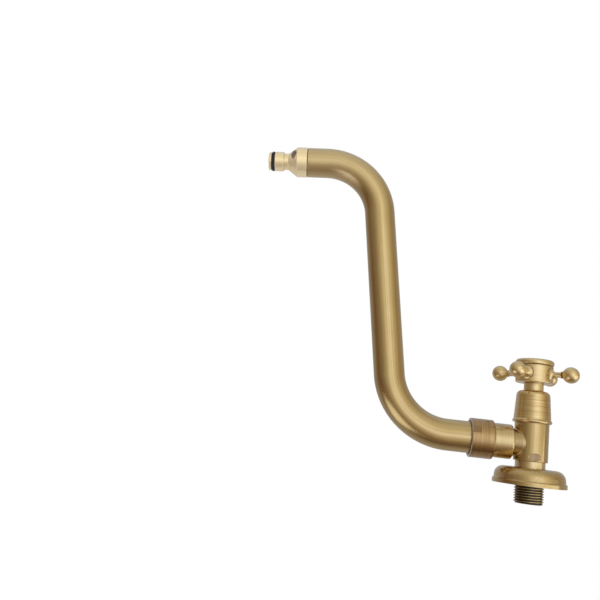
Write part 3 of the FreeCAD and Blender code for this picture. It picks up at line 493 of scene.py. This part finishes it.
# %% [markdown]
# ## The union nut and its milled flats
#
# The spanner flats are cut after the piece is turned and before it is darkened, and the brushing
# belt hardly reaches them. So they stay brownish and dull. Their faces could get a material of
# their own, but a mask inside the one material can fade at its edges. It finds them by their
# distance from the axis, because a flat lies inside the round surface that it was cut from. The nut
# is browner than the rest of the tap, and its polished end face beside the spout is painted pale,
# a painted highlight.

# %% The nut's streaks, and where its flats and its end face are
outlet_out = 29.2 * MM
nut_radius = 14.25 * MM
nut_end_down = 44.55 * MM


def radius_about(first, second):
    return (first * first + second * second).power(0.5)


def inside(radius, surface):
    """1 inside a round surface, by more than the flat facets of its mesh lie inside it."""
    return 1 - radius.ramp(surface - 0.12 * MM, surface - 0.04 * MM)


nut = Shader("brass_nut")
nut_place = nut.place()
nut_x, nut_y, nut_z = nut.parts(nut_place)
nut_flat = inside(radius_about(nut_x, nut_y + outlet_out), nut_radius)
nut_end = (-1 * nut_z).beyond(nut_end_down, 0.1 * MM)
nut_colour, nut_roughness, nut_normal = brushed_brass(
    nut, nut.scaled(nut_place, round_z), nut_place, brown_brass)
print("the nut's pale end starts", round(nut_end_down / MM, 2), "mm below the inlet's axis")

# %% Brown flats and an end face painted pale as a highlight
flat_brown = rgb(142, 110, 72)
flat_share, flat_adds = 0.7, 0.15
end_highlight = rgb(222, 216, 202)
end_highlight_share = 0.85
nut_colour = nut.mix(nut_flat * flat_share, nut_colour, flat_brown)
# a painted highlight: the polished end face is painted near-white
nut_colour = nut.mix(nut_end * end_highlight_share, nut_colour, end_highlight)
nut_finish = lacquered(nut, nut_colour, nut_roughness + flat_adds * nut_flat, nut_normal)
print(len(nut.tree.nodes), "nodes in", nut_finish.name)

# %% [markdown]
# ## The tap body
#
# The body is one casting that is held three ways for finishing: its barrel is brushed lengthwise,
# and its nipple and its outlet's collar are turned. Three materials would show a hard line between
# them, so three sets of streaks are mixed by place in one. The thread keeps the dark finish in its
# roots, the branch's neck is browner because the belt can't get behind the collar, and the oval
# spanner flats are as dull as the nut's.

# %% Streaks that change direction from part to part
barrel_radius = 12.1475 * MM
barrel_start = 16.8 * MM
collar_down = 14.1 * MM
body = Shader("brass_tap_body")
body_place = body.place()
body_x, body_y, body_z = body.parts(body_place)
on_outlet = (-1 * body_z).beyond(collar_down, 0.2 * MM)
on_nipple = body_y.beyond(-barrel_start, 0.1 * MM)
lengthwise, round_inlet, round_outlet = (
    body.scaled(body_place, scale) for scale in (along_y, round_y, round_z))
streaks_at_wall = body.change(on_nipple, lengthwise, round_inlet)
body_streaks = body.change(on_outlet, streaks_at_wall, round_outlet)
body_colour, body_roughness, body_normal = brushed_brass(
    body, body_streaks, body_place, aged_brass)
print("the barrel starts", round(barrel_start / MM, 1), "mm from the wall")

# %% Where the neck, the thread's roots and the oval flats are
thread_end = 5.45 * MM
root_radius, crest_radius = 9.45 * MM, 10.3 * MM
barrel_flat_out = 11.303 * MM
body_radius = radius_about(body_x, body_z)
on_thread = body_y.beyond(-thread_end, 0.15 * MM)
root = on_thread * (1 - body_radius.ramp(root_radius, crest_radius))
off_barrel = body_radius.ramp(barrel_radius + 0.02 * MM, barrel_radius + 0.15 * MM)
on_neck = off_barrel * (1 - on_outlet)
far_out = body_x.size().ramp(barrel_flat_out - 0.1 * MM, barrel_flat_out)
body_flat = inside(body_radius, barrel_radius) * far_out * (1 - on_nipple)
print("the oval flats lie", round(barrel_flat_out / MM, 1), "mm from the axis")

# %% Each place's colour, one of them a painted highlight: how much of it, and which
root_adds = 0.25
places = (
    (on_neck * 0.35, flat_brown),
    # a painted highlight: the nipple beyond the thread is painted pale cream
    (on_nipple * (1 - on_thread) * 0.5, rgb(250, 230, 176)),
    (on_outlet * 0.25, rgb(240, 218, 166)),
    (root * 0.85, rgb(38, 26, 16)),
    (body_flat * flat_share, flat_brown),
)
for share, colour in places:
    body_colour = body.mix(share, body_colour, colour)
body_roughness = body_roughness + root_adds * root + flat_adds * body_flat
body_finish = lacquered(body, body_colour, body_roughness, body_normal)
print(len(places), "places of the body have a colour of their own")

# %% [markdown]
# ## Polished nozzle
#
# The nozzle is a bought piece of pale, bare brass. It is turned on a lathe and polished, so it
# reflects more sharply than the rest and shows hardly any lines. Its fine polishing haze scatters a
# part of the light, so Metallic stays below 1, and that keeps the nozzle as pale as it is beside
# the dark tap. Its two spanner pockets keep the grey skin that the cutter leaves. They could be
# found by their radius too, but their floor is flat, so its distance from the axis finds it
# exactly, between two stations along the nozzle.

# %% Where the pockets are
nozzle_lean = math.radians(84.5 - 81.7)  # the spout's second bend turns a little past its first
nozzle_axis = Vector((0, math.sin(nozzle_lean), -math.cos(nozzle_lean)))
nozzle_top = Vector((0, -230.73, -185.56)) * MM
pocket_angle = math.radians(22)
pocket_floor = 8.2 * MM
pocket_starts, pocket_ends = 8.95 * MM, 13.35 * MM
along_x = Vector((1, 0, 0))
pocket_side = nozzle_axis.cross(along_x)
pocket_faces = along_x * math.cos(pocket_angle) + pocket_side * math.sin(pocket_angle)
polish = Shader("brass_polished")
polish_place = polish.place()
station = polish.reach(polish_place, nozzle_axis) - nozzle_top.dot(nozzle_axis)
depth = (polish.reach(polish_place, pocket_faces) - nozzle_top.dot(pocket_faces)).size()
on_floor = 1 - (depth - pocket_floor).size().ramp(0.02 * MM, 0.12 * MM)
pocket = on_floor * station.beyond(pocket_starts, 0.05 * MM)
pocket = pocket * (1 - station.beyond(pocket_ends, 0.25 * MM))
print("the nozzle leans", round(math.degrees(nozzle_lean), 1), "degrees")

# %% Pale brass, painted shade in the grooves, and grey pockets
pale_gold, deeper_gold = (1.0, 0.87, 0.58, 1), (1.0, 0.82, 0.49, 1)
turning_scale = (60, 60, 1500)
groove_shade_reach, groove_shade_share = 1.5 * MM, 0.6
mirror_share = 0.62  # the rest of the light is scattered by the polishing haze
polished_roughness, turning_adds, pocket_adds = 0.07, 0.05, 0.35
turning = polish.noise(polish.scaled(polish_place, turning_scale), detail=1.0)
drift = polish.noise(polish_place, scale=60.0)
# painted shade: groove roots and steps turn dark brown where another surface lies close
groove_shade = (1 - polish.open_air(groove_shade_reach).ramp(0.3, 0.9)) * groove_shade_share
polish_colour = polish.mix(drift.ramp(0.3, 0.7), pale_gold, deeper_gold)
polish_colour = polish.mix(groove_shade, polish_colour, rgb(128, 98, 52))
polish_colour = polish.mix(pocket, polish_colour, rgb(134, 118, 106))
nozzle_finish = polish.finish(polish.node("ShaderNodeBsdfPrincipled", None, {
    "Base Color": polish_colour, "Metallic": mirror_share,
    "Roughness": polished_roughness + turning_adds * turning + pocket_adds * pocket,
    "Normal": polish.bump(turning, 0.008 * MM)}))
print(len(polish.tree.nodes), "nodes in", nozzle_finish.name)

# %% [markdown]
# ## Plain finishes inside the tap
#
# Rubber rings, washers, ceramic discs, steel and machined brass show at most an edge. A single flat
# colour would do while the tap is closed, but looks like plastic as soon as it is taken apart. So
# each one gets a slow change of colour and a fine grain, all from one function.


# %% Machined brass, rubber, washers, ceramic and steel
def plain(name, light, dark, metallic, roughness, scale, grain):
    """A finish with one slow change of colour, and a grain as deep as it says, in mm."""
    shader = Shader(name)
    place = shader.place()
    slow = shader.noise(place, scale=scale, detail=3.0)
    fine = shader.noise(place, scale=scale * 12)
    return shader.finish(shader.node("ShaderNodeBsdfPrincipled", None, {
        "Base Color": shader.mix(slow.ramp(0.3, 0.7), light, dark), "Metallic": metallic,
        "Roughness": roughness + 0.1 * fine, "Normal": shader.bump(fine, grain * MM)}))


machined = plain("brass_machined", rgb(214, 184, 118), rgb(196, 164, 98), 1.0, 0.25, 90, 0.004)
rubber = plain("rubber_black", rgb(34, 35, 44), rgb(24, 25, 32), 0.0, 0.42, 120, 0.01)
brown_fibre = plain("washer_brown", rgb(96, 72, 46), rgb(76, 56, 34), 0.0, 0.6, 150, 0.006)
white_fibre = plain("washer_white", rgb(226, 222, 210), rgb(212, 206, 192), 0.0, 0.5, 150, 0.006)
ceramic = plain("ceramic_white", rgb(236, 234, 228), rgb(226, 224, 216), 0.0, 0.16, 80, 0.001)
steel = plain("steel_plain", rgb(176, 176, 174), rgb(158, 158, 158), 1.0, 0.28, 110, 0.004)
print(len(bpy.data.materials), "materials so far")

# %% [markdown]
# ## Each node takes its finish
#
# The packed pieces stay as they are, so each keeps its mesh and only its material changes. A
# material could be picked by a word in a piece's name, but a plain table is easier to check.

# %% The table of finishes
finishes = (
    (body_finish, "tap_body"),
    (bonnet_finish, "bonnet_cover"),
    (nut_finish, "union_nut"),
    (handle_finish, "handle_hub", "index_cap",
     "handle_arm_1", "handle_arm_2", "handle_arm_3", "handle_arm_4"),
    (rosette_finish, "wall_rosette"),
    (nozzle_finish, "hose_nozzle"),
    (machined, "cartridge_body", "spindle", "spout_end_sleeve", "nozzle_bush"),
    (rubber, "cartridge_body_seal", "seat_seal",
     "spindle_o_rings", "spout_o_rings", "nozzle_o_ring"),
    (brown_fibre, "nozzle_washer"),
    (white_fibre, "spindle_slip_washer", "outlet_slip_washer", "nut_slip_ring"),
    (ceramic, "fixed_ceramic_disc", "moving_ceramic_disc"),
    (steel, "handle_screw", "spindle_clip"),
)
finished = 0
for material, *names in finishes:
    for name in names:
        node_mesh = nodes[name].data
        node_mesh.materials.clear()
        node_mesh.materials.append(material)
        finished += 1
print(finished, "of", len(nodes), "nodes have their finish")

# %% [markdown]
# ## The spout
#
# The real spout is one length of tube bent twice on a mandrel and then brushed lengthwise. A curve
# with a bevel would give the shape, but not a place along the tube. So a ring of vertices is
# extruded step by step, and turned about each bend's centre. Each vertex also keeps the place that
# it would have if the tube were still straight, and the brush marks read that.

# %% Sizes of the spout
tube_radius = 11.55 * MM  # a hair under the packed tube, so that it stays inside the model's box
tube_start = 39.6475 * MM
legs = (60.75 * MM - tube_start, 126.7 * MM, 15.4 * MM)
# Each bend has its radius, its angle and the side that it turns to.
bends = ((46.35 * MM, math.radians(81.7), -1), (43.6 * MM, math.radians(84.5), 1))
sides = 96
bend_steps = 44
ring_spacing = 4 * MM
bent_length = sum(bend_radius * angle for bend_radius, angle, side in bends)
print("the tube is", round((sum(legs) + bent_length) / MM, 1), "mm long")

# %% The first ring, and how to make the next one
tube_shape = bmesh.new()
straight = tube_shape.verts.layers.float_vector.new("straight_place")
here = Vector((0, -outlet_out, -tube_start))
going = Vector((0, 0, -1))
bmesh.ops.create_circle(tube_shape, segments=sides, radius=tube_radius)
bmesh.ops.translate(tube_shape, verts=tube_shape.verts, vec=here)
for vertex in tube_shape.verts:
    vertex[straight] = (vertex.co.x, vertex.co.y + outlet_out, 0)
ring = list(tube_shape.edges)


def next_ring(edges, length):
    """Extrudes a ring in place and moves its record of the straight tube on by a length."""
    made = bmesh.ops.extrude_edge_only(tube_shape, edges=edges)["geom"]
    verts = [g for g in made if isinstance(g, bmesh.types.BMVert)]
    for vertex in verts:
        vertex[straight] = Vector(vertex[straight]) + Vector((0, 0, length))
    made_edges = (g for g in made if isinstance(g, bmesh.types.BMEdge))
    return [edge for edge in made_edges if all(v in verts for v in edge.verts)], verts


print("the first ring has", len(ring), "edges")

# %% Leg, bend, leg, bend, leg
for leg, length in enumerate(legs):
    steps = max(2, round(length / ring_spacing))
    for step in range(steps):
        ring, verts = next_ring(ring, length / steps)
        bmesh.ops.translate(tube_shape, verts=verts, vec=going * (length / steps))
    here += going * length
    if leg < len(bends):
        bend_radius, angle, side = bends[leg]
        pivot = Vector((side, 0, 0))
        centre = here + pivot.cross(going) * bend_radius
        one_step = Matrix.Rotation(angle / bend_steps, 3, pivot)
        for step in range(bend_steps):
            ring, verts = next_ring(ring, bend_radius * angle / bend_steps)
            bmesh.ops.rotate(tube_shape, verts=verts, cent=centre, matrix=one_step)
        whole_bend = Matrix.Rotation(angle, 3, pivot)
        here = centre + whole_bend @ (here - centre)
        going = whole_bend @ going
bmesh.ops.recalc_face_normals(tube_shape, faces=tube_shape.faces)
print("the tube ends at", [round(c / MM, 2) for c in here], "mm")

# %% [markdown]
# ## The spout's finish
#
# The tube is brushed lengthwise, so its streaks are narrow round the tube and very long along it.
# Streaks that read the real place would run straight through a bend, so these read the straight
# tube's place, and only the clouds of patina read the real one. Towards the nozzle the tube turns
# paler and its shine softer.

# %% Brushed lengthwise
tube_streak_scale = (1700, 1700, 14)
paler_from, paler_to = 205 * MM, 265 * MM
paler_share, nozzle_end_softer = 0.45, 0.1
tube_softer = 0.08
tube = Shader("brass_spout")
tube_place = tube.node(
    "ShaderNodeAttribute", {"attribute_name": "straight_place"}, output="Vector")
tube_colour, tube_roughness, tube_normal = brushed_brass(
    tube, tube.scaled(tube_place, tube_streak_scale), tube.place(), aged_brass,
    contrast=2.1, groove=0.02 * MM)
# the tube turns paler and its shine softer towards the nozzle end
towards_nozzle = tube.parts(tube_place)[2].ramp(paler_from, paler_to)
tube_colour = tube.mix(towards_nozzle * paler_share, tube_colour, rgb(240, 220, 170))
tube_finish = lacquered(
    tube, tube_colour, tube_roughness + tube_softer + nozzle_end_softer * towards_nozzle, tube_normal)
print(len(tube.tree.nodes), "nodes in", tube_finish.name)


# %% From a bmesh to an object that moves with its body
def piece(name, shape, material, body, slot, *replaced):
    """Makes the object, rides it on its body and hides the nodes that it stands for."""
    mesh = bpy.data.meshes.new(name)
    shape.to_mesh(mesh)
    shape.free()
    mesh.materials.append(material)
    for polygon in mesh.polygons:
        polygon.use_smooth = True
    made = bpy.data.objects.new(name, mesh)
    bpy.context.scene.collection.objects.link(made)
    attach(made, body)
    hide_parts(*replaced)
    print(name, "has", len(mesh.polygons), "faces")
    return made


spout = piece(
    "spout_brushed_tube", tube_shape, tube_finish, "spout", "brushed_brass", "spout_tube")

# %% [markdown]
# ## The tube's wall and its rims
#
# So far the tube is a skin without thickness. A second, smaller tube inside it and a flat ring at
# each end would make the wall, but the Solidify modifier makes both from one number. The Bevel
# modifier then takes the sharp edge off the cut ends, as a file does on the real tube.

# %% A wall inside and rounded rims
tube_wall = 1.18 * MM
rim_round = 0.25 * MM
wall = spout.modifiers.new("tube_wall", "SOLIDIFY")
wall.thickness = tube_wall
wall.offset = -1
rim = spout.modifiers.new("rounded_rims", "BEVEL")
rim.limit_method = "ANGLE"
rim.width = rim_round
rim.segments = 2
spout.modifiers.new("flat_faces_kept", "WEIGHTED_NORMAL")
print("the bore is", round((tube_radius - tube_wall) * 2 / MM, 2), "mm across")

# %% [markdown]
# ## The end
#
# A view transform can bend colours for effect. The plain one shows a colour as it was written.

# %% View transform
bpy.context.scene.view_settings.view_transform = "Standard"
